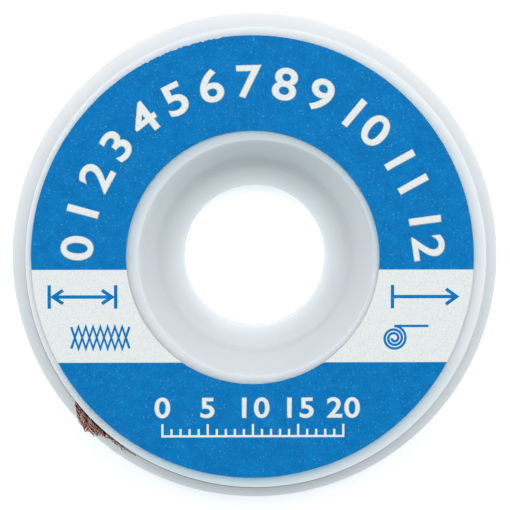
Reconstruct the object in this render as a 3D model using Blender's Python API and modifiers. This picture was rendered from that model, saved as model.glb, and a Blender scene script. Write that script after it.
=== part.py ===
"""Desoldering braid: flat copper braid wound in a two-piece plastic spool case with a paper ring label.

The case lies on its back with the label up. Metres, +Z along the spindle hole, +Y to the top of the label.
The origin is on the back face, on the axis of the spindle hole.
"""

import math

import bmesh
import bpy
from mathutils import Vector

# Case as a whole
CASE_DIAMETER = 0.0550
CASE_HEIGHT = 0.0100
WALL = 0.0011
FIT_GAP = 0.0003
SPINDLE_HOLE_DIAMETER = 0.0161
CASE_SEGMENTS = 80

# Front moulding: a flat disc and the tapered cup in its middle
RIM_BEYOND_DISC = 0.0021
DISC_THICKNESS = 0.0010
LEDGE_ROUND_HOLE = 0.00285
CUP_FLARE = 0.0021
CUP_FLOOR_THICKNESS = 0.0010
CUP_FILLET = 0.0008
CUP_FOOT_CHAMFER = 0.0003
MOUTH_ROUND = 0.0003
DISC_EDGE_ROUND = 0.0002

# Back moulding: a flat back, a collar round the cup's foot and a rounded wall that ends in a lip
LIP_UNDER_DISC = 0.0012
WIDEST_HEIGHT = 0.0035
SHOULDER_WIDTH = 0.0035
HEEL_WIDTH = 0.0025
COLLAR_WALL = 0.0009
COLLAR_HEIGHT = 0.0023

# Braid
BRAID_WIDTH = 0.0035
BRAID_THICKNESS = 0.00050
BRAID_LENGTH = 1.5
WINDING_SLACK = 0.00005
TURN_GROOVE_DEPTH = 0.00015
SLOT_CLEARANCE = 0.00035
ROLL_SEGMENTS = 48
END_LEAVES_ROLL_DEG = 128.0
END_TURNS_OUT_DEG = 203.5
END_BENDS_DOWN_DEG = 219.5
END_TIP_DEG = 229.5
END_MIDDLE_BEYOND_DISC = 0.0010
END_CLEAR_OF_LIP = 0.0005
END_DROP = 0.0006
END_TIP_TILT_DEG = 20.0

# Paper label, stuck on a little off centre
LABEL_MARGIN_AT_EDGE = 0.0010
LABEL_MARGIN_AT_MOUTH = 0.00095
LABEL_THICKNESS = 0.00015
LABEL_GLUE = 0.00005
LABEL_SHIFT_X = -0.00037
LABEL_SHIFT_Y = 0.00008

# Worked out from the sizes above
CASE_RADIUS = CASE_DIAMETER / 2
DISC_RADIUS = CASE_RADIUS - RIM_BEYOND_DISC
HOLE_RADIUS = SPINDLE_HOLE_DIAMETER / 2
FOOT_RADIUS = HOLE_RADIUS + LEDGE_ROUND_HOLE
MOUTH_RADIUS = FOOT_RADIUS + CUP_FLARE
DISC_UNDERSIDE = CASE_HEIGHT - DISC_THICKNESS
CUP_UNDERSIDE = WALL + FIT_GAP
CUP_FLOOR = CUP_UNDERSIDE + CUP_FLOOR_THICKNESS
CUP_TAPER = CUP_FLARE / (CASE_HEIGHT - CUP_FLOOR)
SLOT_HEIGHT = BRAID_THICKNESS + 2 * SLOT_CLEARANCE
LIP_RADIUS = DISC_RADIUS - LIP_UNDER_DISC
LIP_HEIGHT = DISC_UNDERSIDE - SLOT_HEIGHT
COLLAR_TOP = WALL + COLLAR_HEIGHT
COLLAR_INNER_RADIUS = FOOT_RADIUS + WALL + CUP_TAPER * (COLLAR_TOP - CUP_FLOOR) + FIT_GAP
COLLAR_OUTER_RADIUS = COLLAR_INNER_RADIUS + COLLAR_WALL
ROLL_BORE_RADIUS = COLLAR_OUTER_RADIUS + FIT_GAP
ROLL_BOTTOM = WALL + FIT_GAP
ROLL_TOP = ROLL_BOTTOM + BRAID_WIDTH
ROLL_MIDDLE = (ROLL_BOTTOM + ROLL_TOP) / 2
WINDING_PITCH = BRAID_THICKNESS + WINDING_SLACK
ROLL_RADIUS = math.sqrt(ROLL_BORE_RADIUS**2 + BRAID_LENGTH * WINDING_PITCH / math.pi)
LABEL_BOTTOM = CASE_HEIGHT + LABEL_GLUE

# Colours, linear, for each piece's material
PLASTIC = (0.80, 0.84, 0.86, 1.0)
COPPER = (0.55, 0.20, 0.12, 1.0)
PRINTED_BLUE = (0.010, 0.178, 0.497, 1.0)


def clear_scene():
    """Remove what the startup file left."""
    for obj in list(bpy.data.objects):
        bpy.data.objects.remove(obj)


def make_collection(name, hidden=False):
    collection = bpy.data.collections.new(name)
    collection.hide_render = hidden
    bpy.context.scene.collection.children.link(collection)
    return collection


def make_material(name, colour, roughness, metallic=0.0):
    material = bpy.data.materials.new(name)
    material.use_nodes = True
    shader = material.node_tree.nodes["Principled BSDF"]
    shader.inputs["Base Color"].default_value = colour
    shader.inputs["Roughness"].default_value = roughness
    shader.inputs["Metallic"].default_value = metallic
    return material


def arc(centre_r, centre_z, width, height, start_deg, end_deg, steps):
    """Points (r, z) of an elliptical arc in the profile plane; 0 degrees points away from the axis."""
    points = []
    for step in range(steps + 1):
        angle = math.radians(start_deg + (end_deg - start_deg) * step / steps)
        points.append((centre_r + width * math.cos(angle), centre_z + height * math.sin(angle)))
    return points


def turned(name, profile, segments, collection, material):
    """A solid of revolution about +Z from a closed profile of (r, z) points."""
    mesh = bpy.data.meshes.new(name)
    shape = bmesh.new()
    ring = [shape.verts.new((r, 0.0, z)) for r, z in profile]
    for first, second in zip(ring, ring[1:] + ring[:1]):
        shape.edges.new((first, second))
    shape.to_mesh(mesh)
    shape.free()
    obj = bpy.data.objects.new(name, mesh)
    collection.objects.link(obj)
    screw = obj.modifiers.new("Turn", "SCREW")
    screw.steps = segments
    screw.render_steps = segments
    screw.use_merge_vertices = True
    screw.merge_threshold = 0.00001
    screw.use_smooth_shade = True
    obj.data.materials.append(material)
    return obj


def front_flange_profile():
    """The disc and its cup, from the disc's upper edge down its outer side, in under it and up the recess."""
    edge_r = DISC_RADIUS - DISC_EDGE_ROUND
    outer_wall_top = MOUTH_RADIUS + WALL - CUP_TAPER * DISC_THICKNESS
    outer_wall_foot = FOOT_RADIUS + WALL - CUP_TAPER * CUP_FLOOR_THICKNESS
    slope_deg = math.degrees(math.atan(CUP_TAPER))
    # The fillet touches the floor straight below its centre and the wall at right angles to its slope.
    fillet_z = CUP_FLOOR + CUP_FILLET
    fillet_r = FOOT_RADIUS + CUP_TAPER * CUP_FILLET - CUP_FILLET / math.cos(math.radians(slope_deg))
    # The mouth's round touches the face straight above its centre and the wall the same way.
    mouth_z = CASE_HEIGHT - MOUTH_ROUND
    mouth_r = MOUTH_RADIUS - CUP_TAPER * MOUTH_ROUND + MOUTH_ROUND / math.cos(math.radians(slope_deg))
    upper_edge = arc(edge_r, CASE_HEIGHT - DISC_EDGE_ROUND, DISC_EDGE_ROUND, DISC_EDGE_ROUND, 90, 0, 3)
    lower_edge = arc(edge_r, DISC_UNDERSIDE + DISC_EDGE_ROUND, DISC_EDGE_ROUND, DISC_EDGE_ROUND, 0, -90, 3)
    cup_outside = [
        (outer_wall_top, DISC_UNDERSIDE),
        (outer_wall_foot + CUP_TAPER * CUP_FOOT_CHAMFER, CUP_UNDERSIDE + CUP_FOOT_CHAMFER),
        (outer_wall_foot - CUP_FOOT_CHAMFER, CUP_UNDERSIDE),
    ]
    hole = [(HOLE_RADIUS, CUP_UNDERSIDE), (HOLE_RADIUS, CUP_FLOOR)]
    fillet = arc(fillet_r, fillet_z, CUP_FILLET, CUP_FILLET, -90, -slope_deg, 4)
    mouth = arc(mouth_r, mouth_z, MOUTH_ROUND, MOUTH_ROUND, 180 - slope_deg, 90, 3)
    return upper_edge + lower_edge + cup_outside + hole + fillet + mouth


def back_shell_profile():
    """The rounded wall from its lip down its outer side, the flat back, the hole, the collar and the inside."""
    shoulder_r = CASE_RADIUS - SHOULDER_WIDTH
    shoulder_rise = LIP_HEIGHT - WIDEST_HEIGHT
    heel_r = CASE_RADIUS - HEEL_WIDTH
    outer_lip_deg = math.degrees(math.acos((LIP_RADIUS - shoulder_r) / SHOULDER_WIDTH))
    inner_width = SHOULDER_WIDTH - WALL
    inner_lip_deg = math.degrees(math.acos((LIP_RADIUS - shoulder_r) / inner_width))
    shoulder = arc(shoulder_r, WIDEST_HEIGHT, SHOULDER_WIDTH, shoulder_rise, outer_lip_deg, 0, 7)
    heel = arc(heel_r, WIDEST_HEIGHT, HEEL_WIDTH, WIDEST_HEIGHT, 0, -90, 6)[1:]
    hole = [(HOLE_RADIUS, 0.0), (HOLE_RADIUS, WALL)]
    collar = [
        (COLLAR_INNER_RADIUS, WALL),
        (COLLAR_INNER_RADIUS, COLLAR_TOP),
        (COLLAR_OUTER_RADIUS, COLLAR_TOP),
        (COLLAR_OUTER_RADIUS, WALL),
    ]
    inner_rise = shoulder_rise - WALL
    inner_heel = arc(heel_r, WIDEST_HEIGHT, HEEL_WIDTH - WALL, WIDEST_HEIGHT - WALL, -90, 0, 4)
    inner_shoulder = arc(shoulder_r, WIDEST_HEIGHT, inner_width, inner_rise, 0, inner_lip_deg, 4)[1:]
    return shoulder + heel + hole + collar + inner_heel + inner_shoulder


def roll_profile():
    """The wound braid: a ring whose two ends show each turn as a ridge between shallow grooves."""
    turns = round((ROLL_RADIUS - ROLL_BORE_RADIUS) / WINDING_PITCH)
    turn = (ROLL_RADIUS - ROLL_BORE_RADIUS) / turns
    top = []
    for index in range(turns):
        top.append((ROLL_BORE_RADIUS + turn * index, ROLL_TOP - TURN_GROOVE_DEPTH))
        top.append((ROLL_BORE_RADIUS + turn * (index + 0.5), ROLL_TOP))
    top.append((ROLL_RADIUS, ROLL_TOP - TURN_GROOVE_DEPTH))
    bottom = [(r, ROLL_BOTTOM + ROLL_TOP - z) for r, z in reversed(top)]
    return top + bottom


def label_profile():
    """The paper ring, a margin short of the disc's edge and of the cup's mouth."""
    outer = DISC_RADIUS - LABEL_MARGIN_AT_EDGE
    inner = MOUTH_RADIUS + LABEL_MARGIN_AT_MOUTH
    top = LABEL_BOTTOM + LABEL_THICKNESS
    return [(outer, top), (outer, LABEL_BOTTOM), (inner, LABEL_BOTTOM), (inner, top)]


def ease(value, start, end):
    """0 before start, 1 after end, and a smooth rise between them."""
    t = min(max((value - start) / (end - start), 0.0), 1.0)
    return t * t * (3.0 - 2.0 * t)


def braid_end_path():
    """Points and twist of the free end.

    It stands on edge in the roll, rises and lies over until it is flat in the slot, turns outwards through
    the slot and bends down over the shoulder. The last two grow with the square of the angle.
    """
    points = 34
    start_r = ROLL_RADIUS - BRAID_THICKNESS / 2
    under_lip_r = LIP_RADIUS - END_CLEAR_OF_LIP - BRAID_WIDTH / 2
    tip_r = DISC_RADIUS + END_MIDDLE_BEYOND_DISC
    slot_middle = LIP_HEIGHT + SLOT_HEIGHT / 2
    path = []
    for index in range(points):
        share = index / (points - 1)
        angle_deg = END_LEAVES_ROLL_DEG + (END_TIP_DEG - END_LEAVES_ROLL_DEG) * share
        outwards = max(angle_deg - END_TURNS_OUT_DEG, 0.0) / (END_TIP_DEG - END_TURNS_OUT_DEG)
        bent = max(angle_deg - END_BENDS_DOWN_DEG, 0.0) / (END_TIP_DEG - END_BENDS_DOWN_DEG)
        radius = start_r + (under_lip_r - start_r) * ease(share, 0.05, 0.60)
        radius += (tip_r - under_lip_r) * outwards**2
        height = ROLL_MIDDLE + (slot_middle - ROLL_MIDDLE) * ease(share, 0.06, 0.66)
        height -= END_DROP * bent**2
        twist = math.radians(90.0 * ease(share, 0.10, 0.64) + END_TIP_TILT_DEG * bent**2)
        angle = math.radians(angle_deg)
        path.append((Vector((radius * math.cos(angle), radius * math.sin(angle), height)), twist))
    return path


def braid_end(collection):
    """The free end as a flat strip swept along its path, made a mesh so that it can be joined to the roll."""
    curve = bpy.data.curves.new("braid_end", "CURVE")
    curve.dimensions = "3D"
    curve.twist_mode = "Z_UP"
    curve.bevel_depth = BRAID_THICKNESS / 2
    curve.extrude = BRAID_WIDTH / 2 - BRAID_THICKNESS / 2
    curve.bevel_resolution = 1
    curve.use_fill_caps = True
    path = braid_end_path()
    spline = curve.splines.new("POLY")
    spline.points.add(len(path) - 1)
    for point, (place, twist) in zip(spline.points, path):
        point.co = (*place, 1.0)
        point.tilt = twist
    source = bpy.data.objects.new("braid_end_curve", curve)
    collection.objects.link(source)
    bpy.context.view_layer.update()
    graph = bpy.context.evaluated_depsgraph_get()
    mesh = bpy.data.meshes.new_from_object(source.evaluated_get(graph))
    strip = bpy.data.objects.new("braid_end", mesh)
    strip.matrix_world = source.matrix_world
    collection.objects.link(strip)
    bpy.data.objects.remove(source)
    shape = bmesh.new()
    shape.from_mesh(mesh)
    bmesh.ops.remove_doubles(shape, verts=shape.verts, dist=0.000005)
    bmesh.ops.recalc_face_normals(shape, faces=shape.faces)
    shape.to_mesh(mesh)
    shape.free()
    strip.hide_render = True
    strip.display_type = "WIRE"
    return strip


def build():
    clear_scene()
    parts = make_collection("desoldering_braid")
    helpers = make_collection("cutters", hidden=True)
    plastic = make_material("moulded_plastic", PLASTIC, 0.40)
    plastic_back = make_material("moulded_plastic_back", PLASTIC, 0.45)
    copper = make_material("woven_copper", COPPER, 0.35, metallic=1.0)
    paper = make_material("printed_paper", PRINTED_BLUE, 0.60)

    turned("front_flange", front_flange_profile(), CASE_SEGMENTS, parts, plastic)
    turned("back_shell", back_shell_profile(), CASE_SEGMENTS, parts, plastic_back)
    label = turned("label", label_profile(), CASE_SEGMENTS, parts, paper)
    label.location = (LABEL_SHIFT_X, LABEL_SHIFT_Y, 0.0)
    braid = turned("braid", roll_profile(), ROLL_SEGMENTS, parts, copper)
    join = braid.modifiers.new("Join free end", "BOOLEAN")
    join.operation = "UNION"
    join.solver = "EXACT"
    join.object = braid_end(helpers)
    bpy.context.view_layer.update()


build()
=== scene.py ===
"""Desoldering braid in its two-piece spool case: the finished look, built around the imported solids.

Metres, with the origin on the back face. +Z runs along the spindle hole and out of the labelled front,
and +Y points to the top of the label. Every piece keeps its place in its own mesh.
"""

import logging
import math
from dataclasses import dataclass, field
from enum import Enum

import bmesh
import bpy
import numpy as np
from mathutils import Matrix, Vector


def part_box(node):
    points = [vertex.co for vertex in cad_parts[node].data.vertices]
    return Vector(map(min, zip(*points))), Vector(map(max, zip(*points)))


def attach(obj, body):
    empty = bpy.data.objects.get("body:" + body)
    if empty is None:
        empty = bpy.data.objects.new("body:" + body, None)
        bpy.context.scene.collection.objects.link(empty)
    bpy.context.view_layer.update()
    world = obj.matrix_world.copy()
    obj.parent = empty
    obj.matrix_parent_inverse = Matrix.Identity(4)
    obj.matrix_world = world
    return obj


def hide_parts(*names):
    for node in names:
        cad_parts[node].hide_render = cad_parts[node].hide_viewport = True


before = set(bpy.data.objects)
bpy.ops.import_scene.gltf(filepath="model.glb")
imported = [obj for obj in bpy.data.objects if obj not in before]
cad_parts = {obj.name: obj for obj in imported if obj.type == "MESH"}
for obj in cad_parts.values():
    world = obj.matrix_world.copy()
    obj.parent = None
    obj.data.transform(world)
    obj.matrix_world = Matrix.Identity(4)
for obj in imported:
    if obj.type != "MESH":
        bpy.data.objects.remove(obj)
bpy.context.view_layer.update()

Array = np.ndarray
Material = bpy.types.Material
Node = bpy.types.Node
Object = bpy.types.Object
Socket = bpy.types.NodeSocket
Pair = tuple[float, float]
Mark = tuple[str, float, Matrix]

LOG = logging.getLogger("desoldering_braid")
MM = 0.001
BODY = "root"

CASE_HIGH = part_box("back_shell")[1]
DISC_LOW, DISC_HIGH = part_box("front_flange")
LABEL_LOW, LABEL_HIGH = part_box("label")
ROLL_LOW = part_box("braid")[0]


class Ink(Enum):
    """What is printed on a stretch of the label."""

    BANDED = "blue above and below a bare band"
    BARE = "bare paper"
    BLUE = "solid blue"


class Winding(Enum):
    """Which way a carrier of the braid winds round it."""

    RIGHT = 1.0
    LEFT = -1.0


def linear_from_hex(code: str) -> tuple[float, float, float, float]:
    """Turn an sRGB hex colour into linear RGBA.

    Args:
        code: Colour such as "#1A75BB".

    Returns:
        Red, green, blue and an alpha of 1, on Blender's linear scale.
    """
    knee, slope, offset, gamma = 0.04045, 12.92, 0.055, 2.4
    channels = np.array(list(bytes.fromhex(code[1:]))) / 255.0
    linear = np.where(channels <= knee, channels / slope, ((channels + offset) / (1 + offset)) ** gamma)
    return (*linear.tolist(), 1.0)


class Nodes:
    """The nodes of a new material or world, and the place of each point for its patterns."""

    def __init__(
        self, owner: Material | bpy.types.World, shader: str = "Principled BSDF", place: str = "Object"
    ) -> None:
        """Switch the owner's nodes on.

        Args:
            owner: What takes the nodes.
            shader: Name of its shader node.
            place: Texture coordinates that its patterns follow.
        """
        owner.use_nodes = True
        self.owner = owner
        self.tree = owner.node_tree
        self.shader = self.tree.nodes[shader]
        self.place = self.add("TexCoord", out=place)

    def add(self, kind: str, inputs: dict | tuple = (), out: int | str = 0, **settings: object) -> Socket:
        """Add a node with its settings and inputs.

        Args:
            kind: Its type after "ShaderNode", such as "Math".
            inputs: What fill takes.
            out: Number or name of the wanted output.
            **settings: Properties of the node itself.

        Returns:
            The wanted output.
        """
        node = self.tree.nodes.new("ShaderNode" + kind)
        for name, value in settings.items():
            setattr(node, name, value)
        self.fill(node, inputs)
        return node.outputs[out]

    def fill(self, node: Node, inputs: dict | tuple) -> None:
        """Set or link inputs of a node.

        Args:
            node: The node.
            inputs: Input name or number to a plain value, a hex colour or the output that feeds it. A tuple
                fills the inputs in their order.
        """
        for key, value in inputs.items() if isinstance(inputs, dict) else enumerate(inputs):
            if isinstance(value, Socket):
                self.tree.links.new(value, node.inputs[key])
            else:
                node.inputs[key].default_value = linear_from_hex(value) if isinstance(value, str) else value

    def shaded(self, inputs: dict) -> Material | bpy.types.World:
        """Fill the shader's inputs and hand over the finished owner."""
        self.fill(self.shader, inputs)
        return self.owner

    def distance_from(self, x: float, y: float) -> Socket:
        """Level distance of each point from the upright line through (x, y)."""
        level = {"Vector": self.place, "Location": (-x, -y, 0.0), "Scale": (1.0, 1.0, 0.0)}
        return self.add("VectorMath", (self.add("Mapping", level),), "Value", operation="LENGTH")

    def pattern(self, kind: str, size: float, **inputs: float) -> Socket:
        """A procedural pattern of a real size, laid out by the place of each point."""
        return self.add(kind, {"Vector": self.place, "Scale": 1 / size, **inputs})

    def cells(self, spacing: float) -> tuple[Socket, Socket]:
        """Distance from the middle of the nearest Voronoi cell, and a random number that the cell keeps."""
        cell = self.pattern("TexVoronoi", spacing)
        return cell, self.add("SeparateColor", (cell.node.outputs["Color"],))


def unit(vectors: Array) -> Array:
    """Scale the vectors in the last axis to length 1."""
    return vectors / np.linalg.norm(vectors, axis=-1, keepdims=True)


def ease(value: Array, start: float, end: float) -> Array:
    """0 before start, 1 after end, and 3 t^2 - 2 t^3 between them."""
    t = np.clip((value - start) / (end - start), 0.0, 1.0)
    return t * t * (3 - 2 * t)


def in_scene(name: str, data: bpy.types.ID) -> Object:
    """Wrap data in an object and link it to the scene.

    Args:
        name: Name of the object.
        data: Its mesh, curve, lamp or camera.

    Returns:
        The object, at the origin.
    """
    obj = bpy.data.objects.new(name, data)
    bpy.context.scene.collection.objects.link(obj)
    return obj


def grid_quads(rows: int, columns: int, wrap_rows: bool = False, wrap_columns: bool = False) -> Array:
    """Quads between neighbours on a grid whose point (i, j) has the number i * columns + j.

    Args:
        rows: Number of rows.
        columns: Number of columns.
        wrap_rows: True if the last row meets the first.
        wrap_columns: True if the last column meets the first.

    Returns:
        Quads as (m, 4). They face the way of (step along j) x (step along i).
    """
    i = np.arange(rows if wrap_rows else rows - 1)[:, None]
    j = np.arange(columns if wrap_columns else columns - 1)[None, :]
    next_i = (i + 1) % rows
    next_j = (j + 1) % columns
    corners = (i * columns + j, i * columns + next_j, next_i * columns + next_j, next_i * columns + j)
    return np.stack(np.broadcast_arrays(*corners), axis=-1).reshape(-1, 4)


@dataclass
class Surface:
    """A mesh as whole arrays.

    points is (n, 3). quads is (m, 4) and triangles is (k, 3), both counter-clockwise seen from outside.
    corner_uv is the pattern's place at each corner of the quads and then of the triangles, or None.
    strand is one value for each point, which tells the wires apart, or None.
    """

    points: Array
    quads: Array
    triangles: Array = field(default_factory=lambda: np.empty((0, 3), np.int64))
    corner_uv: Array | None = None
    strand: Array | None = None

    @staticmethod
    def joined(parts: list["Surface"]) -> "Surface":
        """Put several surfaces into one, each with its own points.

        Args:
            parts: Surfaces that all have strand values, or none of which has.

        Returns:
            One surface, without a UV map.
        """
        starts = np.cumsum([0] + [len(part.points) for part in parts[:-1]])
        has_strand = parts[0].strand is not None
        return Surface(
            np.concatenate([part.points for part in parts]),
            np.concatenate([part.quads + start for part, start in zip(parts, starts)]),
            np.concatenate([part.triangles + start for part, start in zip(parts, starts)]),
            strand=np.concatenate([part.strand for part in parts]) if has_strand else None,
        )

    def piece(self, name: str, material: Material, smooth: bool = True) -> Object:
        """Put the arrays into a mesh and its object.

        Args:
            name: Name of the piece.
            material: Its finish.
            smooth: True for rounded shading.

        Returns:
            The object, at the origin and unturned.
        """
        mesh = bpy.data.meshes.new(name)
        corners = np.concatenate([self.quads.ravel(), self.triangles.ravel()]).astype(np.int32)
        sides = np.repeat([4, 3], [len(self.quads), len(self.triangles)]).astype(np.int32)
        mesh.vertices.add(len(self.points))
        mesh.vertices.foreach_set("co", self.points.astype(np.float32).ravel())
        mesh.loops.add(len(corners))
        mesh.loops.foreach_set("vertex_index", corners)
        mesh.polygons.add(len(sides))
        mesh.polygons.foreach_set("loop_start", (np.cumsum(sides) - sides).astype(np.int32))
        mesh.polygons.foreach_set("use_smooth", np.full(len(sides), smooth))
        mesh.update(calc_edges=True)
        if self.corner_uv is not None:
            layer = mesh.uv_layers.new(name="weave")
            layer.data.foreach_set("uv", self.corner_uv.astype(np.float32).ravel())
        if self.strand is not None:
            values = mesh.attributes.new("strand", "FLOAT", "POINT")
            values.data.foreach_set("value", self.strand.astype(np.float32))
        mesh.validate()
        mesh.materials.append(material)
        return in_scene(name, mesh)


def arc(centre: Pair, radii: Pair, start: float, end: float, steps: int) -> Array:
    """Points (r, z) of an ellipse's arc: centre + (radii[0] cos t, radii[1] sin t).

    Args:
        centre: Middle of the ellipse.
        radii: Its half width along r and half height along z.
        start: First t in degrees.
        end: Last t in degrees.
        steps: Number of steps between them.

    Returns:
        Points as (steps + 1, 2).
    """
    t = np.radians(np.linspace(start, end, steps + 1))
    return np.stack([centre[0] + radii[0] * np.cos(t), centre[1] + radii[1] * np.sin(t)], axis=1)


def rounded_corner(before: Array, corner: Array, after: Array, radius: float) -> Array:
    """Replace a profile's corner by an arc that touches both of its sides.

    The arc's centre lies on the corner's bisector, radius / sin(half the angle) from the corner, and its
    points turn evenly from one touching point to the other. A support point beyond each touching point
    keeps the smooth shading of the flats beside it level.

    Args:
        before: Point before the corner.
        corner: The corner.
        after: Point after the corner.
        radius: Radius of the round.

    Returns:
        Points (r, z) from the first support point to the last.
    """
    steps = 6
    support = radius * 0.5
    back = (before - corner) / np.linalg.norm(before - corner)
    ahead = (after - corner) / np.linalg.norm(after - corner)
    half = math.acos(float(np.clip(back @ ahead, -1.0, 1.0))) / 2
    reach = radius / math.tan(half)
    bisector = (back + ahead) / np.linalg.norm(back + ahead)
    centre = corner + bisector * radius / math.sin(half)
    first = corner + back * reach - centre
    last = corner + ahead * reach - centre
    turn = math.pi - 2 * half
    share = np.linspace(0.0, 1.0, steps + 1)[:, None]
    curve = (np.sin((1 - share) * turn) * first + np.sin(share * turn) * last) / math.sin(turn) + centre
    return np.vstack([corner + back * (reach + support), curve, corner + ahead * (reach + support)])


def rounded_path(corners: list[tuple[float, float, float]]) -> Array:
    """Round the inner corners of an open profile. Its two end points only give directions.

    Args:
        corners: Corners as (r, z, radius of the round).

    Returns:
        Points (r, z) from the first rounded corner to the last.
    """
    places = np.array([corner[:2] for corner in corners])
    inner = range(1, len(corners) - 1)
    return np.vstack([rounded_corner(places[i - 1], places[i], places[i + 1], corners[i][2]) for i in inner])


def turned(radius: Array, height: Array, columns: int) -> Surface:
    """Turn a closed outline about +Z: point (a, j) = (radius cos a, radius sin a, height_j).

    Args:
        radius: Radii of the outline, running down its outer side, as (n,) or for each angle as (columns, n).
        height: Its heights as (n,).
        columns: Number of steps round the axis.

    Returns:
        The closed surface.
    """
    angle = np.linspace(0.0, 2 * math.pi, columns, endpoint=False)[:, None]
    points = np.stack(np.broadcast_arrays(radius * np.cos(angle), radius * np.sin(angle), height), axis=-1)
    return Surface(points.reshape(-1, 3), grid_quads(columns, len(height), True, True))


def tubes(grid: Array, start_tips: Array, end_tips: Array) -> Surface:
    """Skin several tubes, and close each with a fan to a point at both ends.

    Args:
        grid: Points round each tube as (tubes, stations, sides, 3).
        start_tips: Closing points at the start as (tubes, 3).
        end_tips: Closing points at the end as (tubes, 3).

    Returns:
        All tubes as one surface.
    """
    count, stations, sides = grid.shape[:3]
    first = np.arange(count)[:, None] * stations * sides
    last = first + (stations - 1) * sides
    quads = (grid_quads(stations, sides, False, True)[None] + first[:, :, None]).reshape(-1, 4)
    j = np.arange(sides)[None, :]
    next_j = (j + 1) % sides
    tip = grid.size // 3 + np.arange(count)[:, None] + 0 * j
    fans = ([tip, first + next_j, first + j], [tip + count, last + j, last + next_j])
    triangles = np.concatenate([np.stack(fan, axis=-1).reshape(-1, 3) for fan in fans])
    return Surface(np.concatenate([grid.reshape(-1, 3), start_tips, end_tips]), quads, triangles)


def wires(paths: Array, strand: Array, radius: float, sides: int) -> Surface:
    """Carry a small round section along many paths at once.

    Point (w, i, j) = path + radius (cos t_j across + sin t_j up), with across level and up square to it.

    Args:
        paths: Centrelines as (wires, stations, 3).
        strand: Value that each wire carries at each station, as (wires, stations).
        radius: Radius of the wire.
        sides: Points round the section.

    Returns:
        All wires as one surface.
    """
    nudge, tip = 1e-9, 0.4 * radius
    along = unit(np.gradient(paths, axis=1))
    across = unit(np.cross(along, np.array([0.0, 0.0, 1.0])) + np.array([nudge, 0.0, 0.0]))
    up = np.cross(along, across)
    t = np.linspace(0.0, 2 * math.pi, sides, endpoint=False)[:, None]
    ring = radius * (np.cos(t) * across[:, :, None] + np.sin(t) * up[:, :, None])
    made = tubes(paths[:, :, None] + ring, paths[:, 0] - along[:, 0] * tip, paths[:, -1] + along[:, -1] * tip)
    made.strand = np.concatenate([np.repeat(strand.ravel(), sides), strand[:, 0], strand[:, -1]])
    return made


@dataclass(frozen=True)
class PrintedRing:
    """Where the paper ring lies on the disc, and the bare band across its print."""

    x: float = (LABEL_LOW.x + LABEL_HIGH.x) / 2
    y: float = (LABEL_LOW.y + LABEL_HIGH.y) / 2
    outer: float = (LABEL_HIGH.x - LABEL_LOW.x) / 2
    inner: float = 13.95 * MM
    band_top: float = -1.24 * MM
    band_bottom: float = -11.48 * MM

    def inked(self, nodes: Nodes, blur: float) -> Socket:
        """1 above and below the bare band, and 0 in it.

        Args:
            nodes: Nodes of the finish.
            blur: Half the width over which the one fades into the other.

        Returns:
            The mask.
        """
        level = nodes.add("SeparateXYZ", (nodes.place,), "Y")
        above = nodes.add("MapRange", (level, self.band_top - blur, self.band_top + blur))
        below = nodes.add("MapRange", (level, self.band_bottom + blur, self.band_bottom - blur))
        return nodes.add("Math", (above, below), operation="MAXIMUM")


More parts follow.
